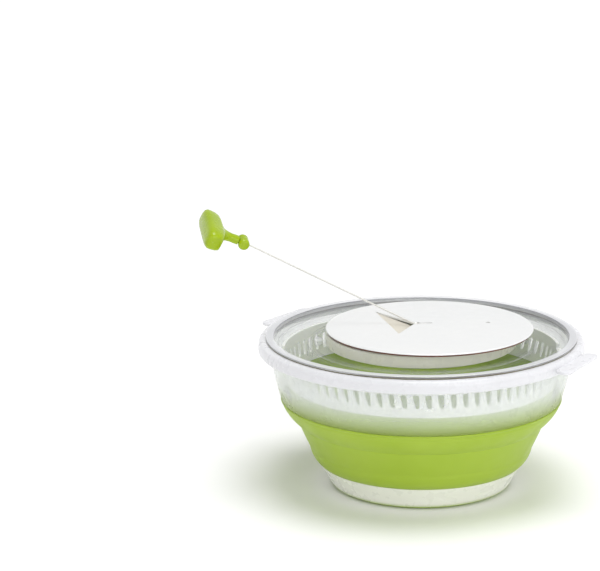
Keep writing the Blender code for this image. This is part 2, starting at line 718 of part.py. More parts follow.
def build_cord():
    """The guide roller, the cord's hidden lead, the swivel at its mouth and the free cord."""
    frame, start = roller_frame()
    cheek = ROLLER_HALF - 0.7
    roller = [(1.2, -ROLLER_HALF), (ROLLER_R, -ROLLER_HALF), (ROLLER_R, -cheek)]
    roller += [(ROLLER_GROOVE_R, 0.1 - cheek), (ROLLER_GROOVE_R, cheek - 0.1), (ROLLER_R, cheek)]
    roller += [(ROLLER_R, ROLLER_HALF), (1.2, ROLLER_HALF)]
    lathe("guide_roller", roller, facets=16, place=frame)
    cylinder("roller_pin", 0.9, -BRACKET_HALF - 0.2, BRACKET_HALF + 0.2, facets=12, place=frame)
    build_bracket(frame)
    route = [start]
    for angle in (-90, -60, -30, 0):
        turn = math.radians(angle)
        bend = Vector((math.cos(turn), math.sin(turn), 0)) * ROLLER_REACH
        route.append(frame @ bend)
    corner = Vector((ROLLER_AT.x - RUN_BEND_R, ROLLER_AT.y, RUN_Z - RUN_BEND_R))
    for angle in (0, 45, 90):
        turn = math.radians(angle)
        route.append(corner + Vector((math.cos(turn), 0, math.sin(turn))) * RUN_BEND_R)
    route += [Vector((10.0, EYELET.y, RUN_Z)), EYELET + Vector((8.6, 0, 0.3))]
    route.append(EYELET + Vector((EYELET_R + 0.3, 0, 0)))
    cord_piece("cord_lead", route)
    low = EYELET.z - 1.9
    swivel = [(2.4, low), (3.3, low), (3.3, low + 0.9), (2.4, low + 0.9)]
    lathe("cord_swivel", swivel, facets=16, centre=(EYELET.x, EYELET.y))
    place = cord_frame(0.0) @ Matrix.Rotation(math.radians(90), 4, "Y")
    bead = [(1.1, -1.6), (1.7, -1.1), (EYELET_R, 0.0), (1.7, 1.1), (1.1, 1.6)]
    lathe("cord_eyelet", bead, facets=12, place=place)
    cord = cord_frame(0.0)
    cord_piece("pull_cord", [cord.translation, cord @ Vector((CORD_END, 0, 0))])


def build_bracket(frame):
    """A U bracket that holds the roller's pin, standing on the cup's floor."""
    wide = 3.0
    top = 3.0
    inside = BRACKET_HALF - BRACKET_WALL
    low = CUP_FLOOR - frame.translation.z
    base = low + BRACKET_WALL
    outline = [(-BRACKET_HALF, low), (BRACKET_HALF, low), (BRACKET_HALF, top), (inside, top)]
    outline += [(inside, base), (-inside, base), (-inside, top), (-BRACKET_HALF, top)]
    points = []
    for along in (-wide, wide):
        points += [frame @ Vector((along, height, across)) for across, height in outline]
    count = len(outline)
    faces = [tuple(range(count)), tuple(range(count, 2 * count))]
    for step in range(count):
        after = (step + 1) % count
        faces.append((step, after, count + after, count + step))
    bracket = piece("roller_bracket", points, faces)
    combine(bracket, cylinder("hole", 1.05, -6.0, 6.0, facets=12, place=frame), "DIFFERENCE")


def build_handle():
    """The toggle on the cord's end, and the grip, turned on its short neck towards the front."""
    knob = grip_frame(0.0) @ Matrix.Rotation(math.radians(-90), 4, "X")
    half = TOGGLE_LENGTH / 2
    profile = [(0, -half), (TOGGLE_R - 1.4, -half), (TOGGLE_R, 1.2 - half), (TOGGLE_R, half - 1.2)]
    profile += [(TOGGLE_R - 1.4, half), (0, half)]
    lathe("cord_toggle", profile, facets=16, place=knob)
    grip = grip_frame(GRIP_FROM_TOGGLE)
    near = TOGGLE_R + 0.3 - GRIP_FROM_TOGGLE
    stations = [(near, 4.5, 3.6), (near + 6, 4.2, 3.4), (-7.5, 9.0, 5.5), (-5.5, 24.0, 7.6)]
    stations += [(4.5, 26.0, 8.6), (8.0, 22.0, 5.6)]
    points = []
    for along, wide, deep in stations:
        bevel = min(wide, deep) * 0.35
        outline = [(wide - bevel, deep), (wide, deep - bevel), (wide, bevel - deep)]
        outline += [(wide - bevel, -deep), (bevel - wide, -deep), (-wide, bevel - deep)]
        outline += [(-wide, deep - bevel), (bevel - wide, deep)]
        points += [grip @ Vector((along, across, up)) for across, up in outline]
    faces = [tuple(range(8)), tuple(range(len(points) - 8, len(points)))]
    for station in range(len(stations) - 1):
        low = 8 * station
        for step in range(8):
            after = (step + 1) % 8
            faces.append((low + step, low + after, low + 8 + after, low + 8 + step))
    piece("pull_handle", points, faces)


clear_scene()
build_bowl()
build_basket()
build_lid()
build_drum()
build_cap()
build_shaft()
build_spool()
build_driver()
build_cord()
build_handle()
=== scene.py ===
"""The looks of a collapsible pull-cord salad spinner: fine meshes, materials, light and camera.

Outlines are in millimetres, as (radius, height) points about the spinner's own axis, and meshes
are made in metres. The heights of the main pieces' tops are read from the frame.
"""

import json
import math

import bmesh
import bpy
from mathutils import Matrix, Vector


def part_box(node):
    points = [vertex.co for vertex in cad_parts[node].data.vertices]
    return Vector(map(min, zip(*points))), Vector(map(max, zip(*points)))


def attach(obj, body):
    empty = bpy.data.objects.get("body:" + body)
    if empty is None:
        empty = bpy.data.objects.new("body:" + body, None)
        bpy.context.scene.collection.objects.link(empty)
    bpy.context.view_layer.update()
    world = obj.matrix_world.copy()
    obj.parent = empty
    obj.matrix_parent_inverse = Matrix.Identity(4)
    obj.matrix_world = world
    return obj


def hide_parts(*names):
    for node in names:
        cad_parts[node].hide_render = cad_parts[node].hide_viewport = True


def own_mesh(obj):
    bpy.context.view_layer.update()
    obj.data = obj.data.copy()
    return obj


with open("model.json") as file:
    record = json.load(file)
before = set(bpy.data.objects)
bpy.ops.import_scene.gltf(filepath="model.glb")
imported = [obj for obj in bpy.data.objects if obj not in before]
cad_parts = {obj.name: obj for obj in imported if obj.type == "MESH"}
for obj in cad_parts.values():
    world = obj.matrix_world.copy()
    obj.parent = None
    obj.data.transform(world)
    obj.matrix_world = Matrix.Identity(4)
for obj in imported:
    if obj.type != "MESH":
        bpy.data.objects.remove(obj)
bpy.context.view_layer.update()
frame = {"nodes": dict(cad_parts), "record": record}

MM = 0.001
FACETS = 192
SHARP = 32.0  # Edges that turn by more than this many degrees are shaded sharp.
WELD = 2e-6  # Points closer than this, in metres, become one.
BODY_OF = {
    node: body for body, nodes in frame["record"]["behaviour"]["bodies"].items() for node in nodes
}

# The view: a point near the middle of the picture, and the camera's place from it.
VIEW_AIM = Vector((-0.0991, 0.0, 0.1681))
VIEW_ELEVATION = math.radians(14.04)
VIEW_DISTANCE = 2.0
VIEW_ROLL = math.radians(-0.53)
LENS_PER_METRE = 73.407
SENSOR_WIDTH = 36.0

# The cord leaves its eyelet at CORD_ANGLE above -X. The toggle and the grip's bar stand along it,
# and the grip is rolled about the cord and turned at the toggle.
EYELET = Vector((-4.2, 11.0, 131.4))
CORD_ANGLE = math.radians(26.7)
CORD_LENGTH = 152.7
CORD_R = 0.75
CORD_STEP = 4.0
CORD_SIDES = 16
TOGGLE_AT = 157.9
TOGGLE_R = 4.8
TOGGLE_LENGTH = 14.0
GRIP_FROM_TOGGLE = 28.0
GRIP_ROLL = math.radians(8.0)
GRIP_YAW = math.radians(13.0)
GRIP_SIDES = 64

# Places round the axis: a radius, and directions from +X in degrees.
SCREW_CIRCLE_R = 63.5
SCREW_ANGLES = (45.0, 135.0, 225.0, 315.0)
TAB_AT = 139.05
TAB_ANGLES = (-30.0, 142.0)
CATCH_AT = 115.4
CATCH_ANGLES = (69.5, 110.5, 249.5, 290.5)

# The thumb tabs' plan and their heights.
TAB_LENGTH = 12.9
TAB_WIDTH = 62.0
TAB_LOW = 117.6
TAB_HIGH = 120.2

# The basket: its slots' zone, the edge where its notches start, and its floor's rings.
SLOT_COUNT = 72
SLOT_LOW = 94
SLOT_HIGH = 107.8
NOTCH_LOW = 111.2
ARM_COUNT = 6
HUB_R = 9.2
FLOOR_R = 66.0

# Places in plan from the cap's own centre.
CAP_R = 85.2
CORD_WELL = (-11.0, 11.0)
PLUG_AT = (49.0, 11.0)


def top_of(node):
    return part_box(node)[1].z / MM


def foot_of(node):
    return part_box(node)[0].z / MM


BASE_TOP = top_of("bowl_base")
BAND_TOP = top_of("bowl_band")
RIM_TOP = top_of("bowl_rim")
FLANGE_TOP = top_of("bowl_flange")
BASKET_BASE_TOP = top_of("basket_base")
BASKET_BAND_TOP = top_of("basket_band")
BASKET_TOP = top_of("basket_ring")
DECK_TOP = top_of("drum_housing")
CAP_TOP = top_of("top_cap")
CAP_LOW = CAP_TOP - 1.6
CAP_EDGE_LOW = CAP_TOP - 1.2
CUP_WALL = 1.6
LID_UNDER = 117.2
LID_FLOOR = 118.9
DRUM_SEAT = LID_FLOOR + 0.1
DECK_LOW = 127.3
RIDGE_TOP = 121.0
CATCH_TOP = 124.2
CAP_X = (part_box("top_cap")[0].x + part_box("top_cap")[1].x) / 2 / MM


# ---------------------------------------------------------------- mesh tools


def solid(name, points, faces, sharp=SHARP):
    """A closed mesh from points in millimetres, with its faces turned out and shaded smooth."""
    mesh = bpy.data.meshes.new(name)
    mesh.from_pydata([tuple(Vector(point) * MM) for point in points], [], faces)
    item = bpy.data.objects.new(name, mesh)
    bpy.context.scene.collection.objects.link(item)
    return tidied(item, sharp)


def tidied(item, sharp=SHARP):
    """Welds a mesh, turns its faces out and marks the edges that stay sharp."""
    work = bmesh.new()
    work.from_mesh(item.data)
    bmesh.ops.remove_doubles(work, verts=work.verts, dist=WELD)
    bmesh.ops.recalc_face_normals(work, faces=work.faces)
    if work.calc_volume(signed=True) < 0:
        bmesh.ops.reverse_faces(work, faces=work.faces)
    work.to_mesh(item.data)
    work.free()
    item.data.shade_smooth()
    item.data.set_sharp_from_angle(angle=math.radians(sharp))
    return item


def banded(first, second):
    """The faces between two closed rings of as many vertices."""
    count = len(first)
    return [
        (first[step], first[(step + 1) % count], second[(step + 1) % count], second[step])
        for step in range(count)
    ]


def lofted(count, sides):
    """The faces of a tube of rings with as many sides each, closed at both ends."""
    rings = [range(start, start + sides) for start in range(0, count, sides)]
    faces = [tuple(rings[0]), tuple(rings[-1])]
    for here, beyond in zip(rings, rings[1:]):
        faces += banded(here, beyond)
    return faces


def softened(outline, radius=0.35, steps=3):
    """A closed outline with each real corner turned into a small arc, which takes less than half
    of each side."""
    made = []
    count = len(outline)
    for index in range(count):
        here = Vector(outline[index])
        back = Vector(outline[index - 1]) - here
        ahead = Vector(outline[(index + 1) % count]) - here
        on_axis = here.x < 1e-6
        straight = back.angle(ahead) > math.radians(165)
        if on_axis or straight:
            made.append(tuple(here))
            continue
        reach = min(radius, 0.45 * back.length, 0.45 * ahead.length)
        start = here + back.normalized() * reach
        end = here + ahead.normalized() * reach
        for step in range(steps + 1):
            share = step / steps
            point = start * (1 - share) ** 2 + here * 2 * share * (1 - share) + end * share**2
            made.append(tuple(point))
    return made


def flowing(points, steps=5):
    """A smooth open line through a few points, by Catmull and Rom's cubic."""
    places = [Vector(point) for point in points]
    places = [2 * places[0] - places[1]] + places + [2 * places[-1] - places[-2]]
    made = []
    for index in range(1, len(places) - 2):
        before, start, end, after = places[index - 1 : index + 3]
        for step in range(steps):
            t = step / steps
            slope = (end - before) * t
            square = (2 * before - 5 * start + 4 * end - after) * t**2
            cube = (3 * start - before - 3 * end + after) * t**3
            made.append(0.5 * (2 * start + slope + square + cube))
    made.append(places[-2])
    return [tuple(point) for point in made]


def turned(name, outline, facets=FACETS, centre=(0.0, 0.0), place=None, soft=0.35, sharp=SHARP):
    """Turns a closed outline of (radius, height) points about a vertical axis."""
    profile = softened(outline, soft) if soft else outline
    count = len(profile)
    points = []
    for turn in range(facets):
        angle = 2 * math.pi * turn / facets
        for radius, height in profile:
            x = centre[0] + radius * math.cos(angle)
            y = centre[1] + radius * math.sin(angle)
            points.append(Vector((x, y, height)))
    if place is not None:
        points = [place @ point for point in points]
    faces = []
    for turn in range(facets):
        here = turn * count
        beyond = (turn + 1) % facets * count
        for step in range(count):
            after = (step + 1) % count
            if profile[step][0] < 1e-6 and profile[after][0] < 1e-6:
                continue
            faces.append((here + step, here + after, beyond + after, beyond + step))
    return solid(name, points, faces, sharp)


def prism(name, outline, low, high):
    """A straight prism over a plan outline, used to cut or to join."""
    count = len(outline)
    points = [(x, y, low) for x, y in outline] + [(x, y, high) for x, y in outline]
    return solid(name, points, lofted(len(points), count))


def circle(radius, centre, count=48):
    turns = [2 * math.pi * step / count for step in range(count)]
    return [(centre[0] + radius * math.cos(a), centre[1] + radius * math.sin(a)) for a in turns]


def on_circle(radius, angle):
    turn = math.radians(angle)
    return (radius * math.cos(turn), radius * math.sin(turn))


def rounded_plan(length, width, radius, centre, angle=0.0, corners=8):
    """A rounded rectangle in plan, length along its own X, moved to centre and turned."""
    turn = math.radians(angle)
    made = []
    for quarter in range(4):
        across = 1 if quarter in (0, 3) else -1
        along = 1 if quarter in (0, 1) else -1
        for step in range(corners + 1):
            bend = math.radians(90 * (quarter + step / corners))
            x = across * (length / 2 - radius) + radius * math.cos(bend)
            y = along * (width / 2 - radius) + radius * math.sin(bend)
            far = centre[0] + x * math.cos(turn) - y * math.sin(turn)
            wide = centre[1] + x * math.sin(turn) + y * math.cos(turn)
            made.append((far, wide))
    return made


def combined(item, other, operation, sharp=SHARP):
    """Joins other to item or cuts it away, for good, and removes other."""
    step = item.modifiers.new("combine", "BOOLEAN")
    step.operation = operation
    step.solver = "EXACT"
    step.object = other
    return applied(item, sharp, other)


def applied(item, sharp=SHARP, *spent):
    """Applies the piece's modifiers and removes the objects that they used."""
    bpy.context.view_layer.update()
    graph = bpy.context.evaluated_depsgraph_get()
    made = bpy.data.meshes.new_from_object(item.evaluated_get(graph))
    item.modifiers.clear()
    item.data = made
    for other in spent:
        bpy.data.objects.remove(other, do_unlink=True)
    return tidied(item, sharp)


def bevelled(item, width, angle=40.0, segments=2, sharp=SHARP):
    """Rounds the piece's sharp edges by a width in millimetres."""
    step = item.modifiers.new("bevel", "BEVEL")
    step.width = width * MM
    step.segments = segments
    step.limit_method = "ANGLE"
    step.angle_limit = math.radians(angle)
    step.use_clamp_overlap = True
    return applied(item, sharp)


def refined(node, width):
    """A copy of a CAD node's mesh with flat faces rejoined and its edges rounded."""
    item = bpy.data.objects.new("fine_" + node, frame["nodes"][node].data.copy())
    bpy.context.scene.collection.objects.link(item)
    item.data.materials.clear()
    work = bmesh.new()
    work.from_mesh(item.data)
    bmesh.ops.remove_doubles(work, verts=work.verts, dist=WELD)
    bmesh.ops.dissolve_limit(
        work, angle_limit=math.radians(1.0), verts=work.verts, edges=work.edges
    )
    work.to_mesh(item.data)
    work.free()
    return bevelled(item, width)


def perforated(name, surface, cells, zones, columns=4, notched=()):
    """A turned wall of equal cells. surface(side, way) is a (radius, height) point of its outer
    (0) or inner (1) face. A zone is (start, end, hole), where hole(u, v) moves a point of the
    cell's edge to the slot's edge, and None is a plain strip. notched lists the columns, counted
    round the wall, that the last strip leaves out."""
    points = []
    index = {}
    faces = []
    total = cells * columns
    border = [(step / columns, 0.0) for step in range(columns)]
    border += [(1.0, step / columns) for step in range(columns)]
    border += [(1 - step / columns, 1.0) for step in range(columns)]
    border += [(0.0, 1 - step / columns) for step in range(columns)]

    def vertex(side, column, way):
        key = (side, round(column % total, 5), round(way, 5))
        if key not in index:
            index[key] = len(points)
            angle = 2 * math.pi * (column - columns / 2) / total
            radius, height = surface(side, way)
            points.append((radius * math.cos(angle), radius * math.sin(angle), height))
        return index[key]

    def add_plain(side, column, start, end):
        """One cell's column of a plain strip, on the outer or the inner side."""
        corners = [(column, start), (column + 1, start), (column + 1, end), (column, end)]
        faces.append(tuple(vertex(side, *corner) for corner in corners))

    def add_through(first, second):
        """A face through the wall's thickness, between two (column, way) places."""
        corners = [(0, *first), (1, *first), (1, *second), (0, *second)]
        faces.append(tuple(vertex(*corner) for corner in corners))

    def add_slotted(cell, start, end, hole):
        """A cell's outer and inner faces round its slot, and the slot's own wall."""
        inner = [hole(u, v) for u, v in border]
        rims = []
        for side in (0, 1):
            outside, inside = [
                [vertex(side, (cell + u) * columns, start + (end - start) * v) for u, v in ring]
                for ring in (border, inner)
            ]
            rims.append(inside)
            faces.extend(banded(outside, inside))
        faces.extend(banded(*rims))

    for number, (start, end, hole) in enumerate(zones):
        if hole is not None:
            for cell in range(cells):
                add_slotted(cell, start, end, hole)
            continue
        gaps = notched if number == len(zones) - 1 else ()
        for column in range(total):
            if column in gaps:
                continue
            for side in (0, 1):
                add_plain(side, column, start, end)
            for edge, beside in ((column, column - 1), (column + 1, column + 1)):
                if beside % total in gaps:
                    add_through((edge, start), (edge, end))
    for column in range(total):
        last = zones[-1][0] if column in notched else zones[-1][1]
        for way in (zones[0][0], last):
            add_through((column, way), (column + 1, way))
    return solid(name, points, faces, sharp=38.0)


def along_line(line, way):
    """The (x, y) point where y first reaches way on an open line whose y only rises."""
    for start, end in zip(line, line[1:]):
        if start[1] <= way <= end[1]:
            share = (way - start[1]) / (end[1] - start[1])
            return (start[0] + (end[0] - start[0]) * share, way)
    return line[-1] if way > line[-1][1] else line[0]


def stands_for(item, node, finish):
    """The fine piece takes a node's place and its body."""
    item.data.materials.clear()
    item.data.materials.append(finish)
    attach(item, BODY_OF[node])
    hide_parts(node)
    return item


def dressed(finish, *nodes):
    """CAD nodes that keep their own meshes and take a finer material."""
    for node in nodes:
        item = frame["nodes"][node]
        item.data.materials.clear()
        item.data.materials.append(finish)


# ---------------------------------------------------------------- material tools


def principled(name, colour, roughness, **values):
    """A material with one Principled shader and its even values set on its own sockets."""
    material = bpy.data.materials.new(name)
    material.use_nodes = True
    shader = material.node_tree.nodes["Principled BSDF"]
    shader.inputs["Base Color"].default_value = (*colour, 1.0)
    shader.inputs["Roughness"].default_value = roughness
    for socket, value in values.items():
        shader.inputs[socket.replace("_", " ")].default_value = value
    return material


def shader_of(material):
    return material.node_tree.nodes["Principled BSDF"]


def object_place(material):
    return material.node_tree.nodes.new("ShaderNodeTexCoord").outputs["Object"]


def noise(material, scale, detail=3.0, stretch=(1.0, 1.0, 1.0)):
    """A noise texture over the piece's own coordinates, with scale in turns a metre."""
    nodes = material.node_tree.nodes
    links = material.node_tree.links
    shape = nodes.new("ShaderNodeMapping")
    shape.inputs["Scale"].default_value = stretch
    texture = nodes.new("ShaderNodeTexNoise")
    texture.inputs["Scale"].default_value = scale
    texture.inputs["Detail"].default_value = detail
    links.new(object_place(material), shape.inputs["Vector"])
    links.new(shape.outputs["Vector"], texture.inputs["Vector"])
    return texture.outputs["Fac"]


def ranged(material, value, low, high, start=0.3, end=0.7):
    """Maps a value from start..end to low..high."""
    mapping = material.node_tree.nodes.new("ShaderNodeMapRange")
    mapping.inputs["From Min"].default_value = start
    mapping.inputs["From Max"].default_value = end
    mapping.inputs["To Min"].default_value = low
    mapping.inputs["To Max"].default_value = high
    material.node_tree.links.new(value, mapping.inputs["Value"])
    return mapping.outputs["Result"]


def mottled(material, scale, low, high):
    """The base colour drifts between two colours, as the pigment does in moulded plastic."""
    ramp = material.node_tree.nodes.new("ShaderNodeValToRGB")
    ramp.color_ramp.elements[0].position = 0.35
    ramp.color_ramp.elements[0].color = (*low, 1.0)
    ramp.color_ramp.elements[1].position = 0.65
    ramp.color_ramp.elements[1].color = (*high, 1.0)
    links = material.node_tree.links
    links.new(noise(material, scale), ramp.inputs["Fac"])
    links.new(ramp.outputs["Color"], shader_of(material).inputs["Base Color"])


def uneven(material, scale, low, high):
    """The roughness drifts between two values, as handled and rinsed surfaces do."""
    value = ranged(material, noise(material, scale, 4.0), low, high)
    material.node_tree.links.new(value, shader_of(material).inputs["Roughness"])


def textured(material, height, depth):
    """Raises the surface by a height field, with depth in millimetres."""
    bump = material.node_tree.nodes.new("ShaderNodeBump")
    bump.inputs["Distance"].default_value = depth * MM
    bump.inputs["Strength"].default_value = 1.0
    links = material.node_tree.links
    links.new(height, bump.inputs["Height"])
    links.new(bump.outputs["Normal"], shader_of(material).inputs["Normal"])


def see_through(material, facing, edge, blend=0.4):
    """Opacity from facing, where the surface is seen square on, to edge, seen along it."""
    weight = material.node_tree.nodes.new("ShaderNodeLayerWeight")
    weight.inputs["Blend"].default_value = blend
    value = ranged(material, weight.outputs["Facing"], facing, edge, 0.0, 1.0)
    material.node_tree.links.new(value, shader_of(material).inputs["Alpha"])


def calculated(material, operation, *values):
    """A Math node over sockets and plain numbers."""
    step = material.node_tree.nodes.new("ShaderNodeMath")
    step.operation = operation
    for socket, value in zip(step.inputs, values):
        if isinstance(value, (int, float)):
            socket.default_value = value
        else:
            material.node_tree.links.new(value, socket)
    return step.outputs["Value"]


def painted_over(material, colour, share):
    """Mixes a colour over the base colour by a share."""
    shader = shader_of(material)
    links = material.node_tree.links
    mix = material.node_tree.nodes.new("ShaderNodeMixRGB")
    mix.inputs["Color2"].default_value = (*colour, 1.0)
    links.new(share, mix.inputs["Fac"])
    links.new(shader.inputs["Base Color"].links[0].from_socket, mix.inputs["Color1"])
    links.new(mix.outputs["Color"], shader.inputs["Base Color"])


def tinted_from_below(material, colour, low, high):
    """Lets a colour from below bleed up through the plastic, from full to none, in millimetres."""
    split = material.node_tree.nodes.new("ShaderNodeSeparateXYZ")
    material.node_tree.links.new(object_place(material), split.inputs["Vector"])
    share = ranged(material, split.outputs["Z"], 1.0, 0.0, low * MM, high * MM)
    painted_over(material, colour, share)


def veil_and_painted_shade_rings(material, zones, colour):
    """Veils rings round the spinner's axis, where the clear plastic is thick or bends, and paints
    shade into them: the dark colour stands in for the darkening that refraction gives at these
    edges. A zone is (inner radius, outer radius, share of painted shade, opacity), in millimetres."""
    nodes = material.node_tree.nodes
    links = material.node_tree.links
    flat = nodes.new("ShaderNodeVectorMath")
    flat.operation = "MULTIPLY"
    flat.inputs[1].default_value = (1.0, 1.0, 0.0)
    away = nodes.new("ShaderNodeVectorMath")
    away.operation = "LENGTH"
    links.new(object_place(material), flat.inputs[0])
    links.new(flat.outputs["Vector"], away.inputs[0])
    shade = 0.0
    veil = 0.0
    for inner, outer, share, opacity in zones:
        middle, half = (inner + outer) / 2 * MM, (outer - inner) / 2 * MM
        inside = calculated(material, "COMPARE", away.outputs["Value"], middle, half)
        dark = calculated(material, "MULTIPLY", inside, share)
        shade = calculated(material, "MAXIMUM", dark, shade)
        solid_here = calculated(material, "MULTIPLY", inside, opacity)
        veil = calculated(material, "MAXIMUM", solid_here, veil)
    painted_over(material, colour, shade)
    alpha = shader_of(material).inputs["Alpha"]
    links.new(calculated(material, "MAXIMUM", alpha.links[0].from_socket, veil), alpha)


# ---------------------------------------------------------------- materials


def silicone_green():
    """Matt green silicone with the fine sparkle finish of its mould."""
    made = principled("silicone_green", (0.34, 0.48, 0.03), 0.5, Subsurface_Weight=0.08)
    shader_of(made).inputs["Subsurface Radius"].default_value = (0.004, 0.005, 0.001)
    shader_of(made).inputs["Sheen Weight"].default_value = 0.05
    mottled(made, 18.0, (0.325, 0.465, 0.022), (0.355, 0.495, 0.036))
    uneven(made, 60.0, 0.42, 0.58)
    textured(made, noise(made, 1400.0, 2.0), 0.02)
    return made


def milky(name, colour, veil, edge):
    """Translucent polypropylene: it veils what is behind it, more so at a slant."""
    made = principled(name, colour, 0.28, Coat_Weight=0.15)
    low = tuple(0.985 * channel for channel in colour)
    mottled(made, 12.0, low, colour)
    uneven(made, 90.0, 0.24, 0.32)
    see_through(made, veil, edge)
    return made


def base_translucent():
    made = milky("base_translucent", (0.94, 0.95, 0.86), 0.90, 0.98)
    tinted_from_below(made, (0.62, 0.72, 0.36), 1.6, 4.4)
    return made


def bowl_translucent():
    made = milky("bowl_translucent", (0.94, 0.97, 0.96), 0.24, 0.58)
    tinted_from_below(made, (0.52, 0.66, 0.13), BAND_TOP, BASKET_BAND_TOP + 3)
    return made


def flange_translucent():
    """The same plastic in the thick rolled flange, where it looks nearly solid."""
    return milky("flange_translucent", (0.87, 0.87, 0.90), 0.72, 0.95)


def basket_white():
    """White moulded basket plastic with a faint orange-peel surface."""
    made = principled("basket_white", (0.88, 0.90, 0.87), 0.36, Subsurface_Weight=0.1)
    shader_of(made).inputs["Subsurface Radius"].default_value = (0.003, 0.003, 0.002)
    mottled(made, 30.0, (0.86, 0.885, 0.85), (0.91, 0.925, 0.895))
    uneven(made, 120.0, 0.3, 0.44)
    textured(made, noise(made, 500.0, 2.0), 0.012)
    return made


def lid_clear():
    """Polished clear plastic with faint flow marks. The rings are the lid's thick rim, the lines
    on both sides of it, the foot of the well's wall, and the two sides of the ridge; all but the
    thick rim carry painted shade for the darkening that refraction gives there."""
    made = principled("lid_clear", (0.80, 0.81, 0.84), 0.06, Coat_Weight=0.4)
    mottled(made, 12.0, (0.79, 0.80, 0.83), (0.81, 0.82, 0.85))
    uneven(made, 70.0, 0.03, 0.11)
    textured(made, noise(made, 260.0, 3.0, (1.0, 1.0, 0.3)), 0.01)
    see_through(made, 0.02, 0.07, 0.5)
    rim = ((121.4, 127.6, 0.0, 0.78), (127.8, 129.0, 0.4, 0.62), (120.6, 121.4, 0.65, 0.55))
    bends = ((117.4, 118.0, 0.5, 0.35), (92.9, 93.8, 0.4, 0.3), (89.0, 89.7, 0.3, 0.25))
    # Painted shade: the dark colour in these rings stands in for refraction at the edges and
    # bends.
    veil_and_painted_shade_rings(made, rim + bends, (0.16, 0.16, 0.18))
    return made


def clip_clear():
    """The lid's clear catch blocks, which look whiter than the thin plate."""
    return milky("clip_clear", (0.80, 0.82, 0.82), 0.22, 0.6)


def gasket_olive():
    made = principled("gasket_olive", (0.24, 0.21, 0.11), 0.55)
    mottled(made, 60.0, (0.22, 0.195, 0.10), (0.27, 0.235, 0.125))
    textured(made, noise(made, 1200.0, 2.0), 0.02)
    return made


def drum_cream():
    made = principled("drum_cream", (0.88, 0.88, 0.77), 0.3, Subsurface_Weight=0.15)
    shader_of(made).inputs["Subsurface Radius"].default_value = (0.004, 0.004, 0.002)
    mottled(made, 24.0, (0.86, 0.86, 0.75), (0.90, 0.895, 0.79))
    uneven(made, 100.0, 0.24, 0.36)
    textured(made, noise(made, 600.0, 2.0), 0.01)
    see_through(made, 0.88, 1.0)
    return made


def cap_white():
    made = principled("cap_white", (0.84, 0.85, 0.85), 0.16, Coat_Weight=0.3)
    mottled(made, 16.0, (0.83, 0.84, 0.84), (0.85, 0.855, 0.85))
    uneven(made, 140.0, 0.12, 0.24)
    textured(made, noise(made, 380.0, 3.0), 0.008)
    return made


# Dark brown of the ring under the cap's edge: the seal's own colour, and painted shade for the
# shadowed gap under the cap.
def seal_brown():
    made = principled("seal_brown", (0.16, 0.035, 0.018), 0.5)
    mottled(made, 80.0, (0.14, 0.03, 0.015), (0.20, 0.05, 0.025))
    textured(made, noise(made, 1400.0, 2.0), 0.02)
    return made


# The ramp's beige, darker than the cap, is painted shade of the sunken fan recess.
def ramp_beige():
    made = principled("ramp_beige", (0.66, 0.62, 0.53), 0.5)
    mottled(made, 90.0, (0.64, 0.60, 0.51), (0.70, 0.66, 0.57))
    textured(made, noise(made, 1600.0, 2.0), 0.03)
    return made


def handle_green():
    made = principled("handle_green", (0.33, 0.46, 0.004), 0.3, Coat_Weight=0.12)
    shader_of(made).inputs["Specular IOR Level"].default_value = 0.35
    mottled(made, 40.0, (0.315, 0.445, 0.003), (0.345, 0.475, 0.006))
    uneven(made, 180.0, 0.20, 0.30)
    textured(made, noise(made, 700.0, 3.0), 0.015)
    return made


def plug_grey():
    made = principled("plug_grey", (0.52, 0.52, 0.50), 0.45)
    mottled(made, 300.0, (0.49, 0.49, 0.47), (0.56, 0.56, 0.53))
    textured(made, noise(made, 1800.0, 2.0), 0.02)
    return made


def acetal_white():
    made = principled("acetal_white", (0.84, 0.84, 0.80), 0.38, Subsurface_Weight=0.1)
    shader_of(made).inputs["Subsurface Radius"].default_value = (0.002, 0.002, 0.002)
    mottled(made, 60.0, (0.82, 0.82, 0.775), (0.87, 0.865, 0.83))
    uneven(made, 200.0, 0.3, 0.46)
    textured(made, noise(made, 900.0, 2.0), 0.012)
    return made


def steel(name, colour, roughness):
    """Turned steel, with fine rings round its axis."""
    made = principled(name, colour, roughness, Metallic=1.0, Anisotropic=0.5)
    low = tuple(0.92 * channel for channel in colour)
    mottled(made, 150.0, low, colour)
    uneven(made, 300.0, roughness - 0.06, roughness + 0.1)
    textured(made, noise(made, 120.0, 2.0, (1.0, 1.0, 30.0)), 0.01)
    return made


def cord_white():
    """Braided nylon: two crossing sets of strands, from the tube's own round and along."""
    made = principled("cord_white", (0.86, 0.85, 0.80), 0.6, Sheen_Weight=0.3)
    nodes = made.node_tree.nodes
    links = made.node_tree.links
    place = nodes.new("ShaderNodeUVMap")
    heights = []
    for lean in (1.0, -1.0):
        shape = nodes.new("ShaderNodeMapping")
        shape.inputs["Scale"].default_value = (4.0, 4.0 * lean, 1.0)
        wave = nodes.new("ShaderNodeTexWave")
        wave.wave_type = "BANDS"
        wave.bands_direction = "DIAGONAL"
        wave.inputs["Scale"].default_value = 1.0
        links.new(place.outputs["UV"], shape.inputs["Vector"])
        links.new(shape.outputs["Vector"], wave.inputs["Vector"])
        heights.append(wave.outputs["Fac"])
    textured(made, calculated(made, "MAXIMUM", *heights), 0.12)
    mottled(made, 900.0, (0.70, 0.69, 0.64), (0.84, 0.83, 0.79))
    return made


# ---------------------------------------------------------------- bowl


def foot_pad():
    """The silicone foot: a broad ring that touches the table round a shallow recess."""
    outline = [(0, 0.5), (58, 0.5), (59.5, 0), (71, 0), (72, 0.8), (72, 1.6), (0, 1.6)]
    return turned("fine_foot_pad", outline)


